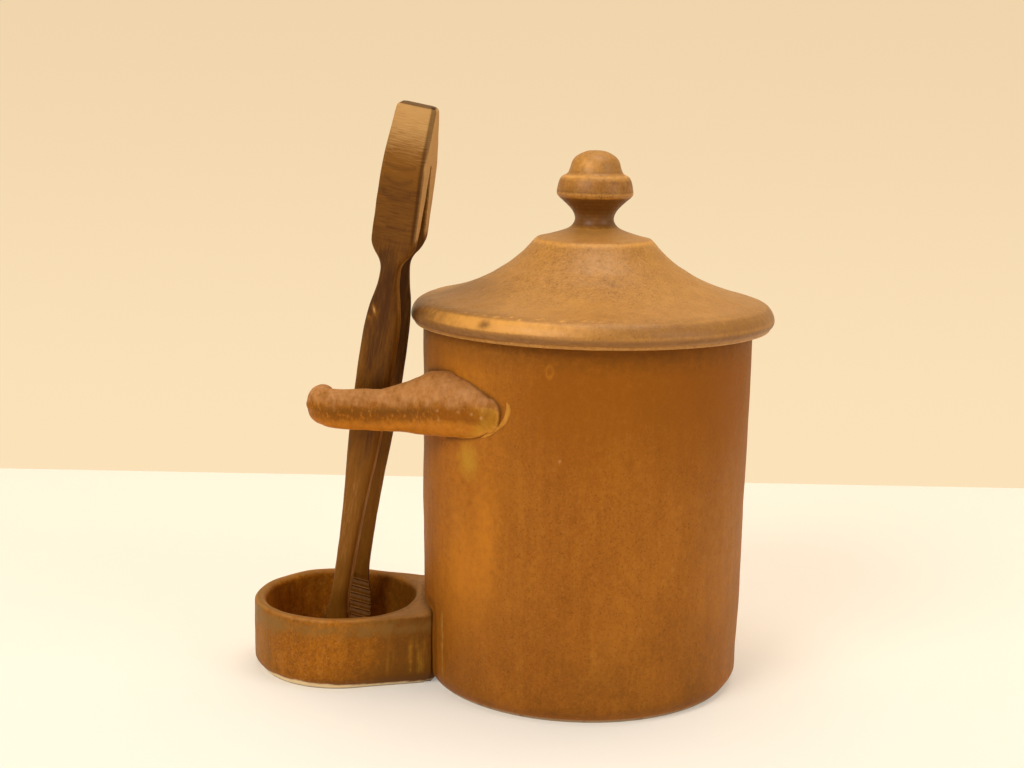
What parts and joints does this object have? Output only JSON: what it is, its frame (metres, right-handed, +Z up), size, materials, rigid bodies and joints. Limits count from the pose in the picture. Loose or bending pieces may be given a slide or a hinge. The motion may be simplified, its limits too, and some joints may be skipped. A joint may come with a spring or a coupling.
{
  "type": "gherkin jar",
  "caption": "Lidded glazed stoneware gherkin jar with a cast-on side cup and an open side hook that hold wooden tongs.",
  "frame": {"origin": "on the jar's axis, in the flat face it stands on", "axes": "+Z up along the jar's axis; the tongs' cup stands out along -X; the hook is on the front, -Y, side"},
  "size_m": [0.183, 0.1272, 0.2025],
  "materials": {
    "jar_glaze": "satin caramel-brown salt glaze",
    "lid_glaze": "satin brown glaze",
    "tongs_wood": "dark oiled wood, lighter at the top of the handle"
  },
  "bodies": {
    "root": {"jar": "jar_glaze", "lid": "lid_glaze", "tongs": "tongs_wood"}
  },
  "joints": []
}
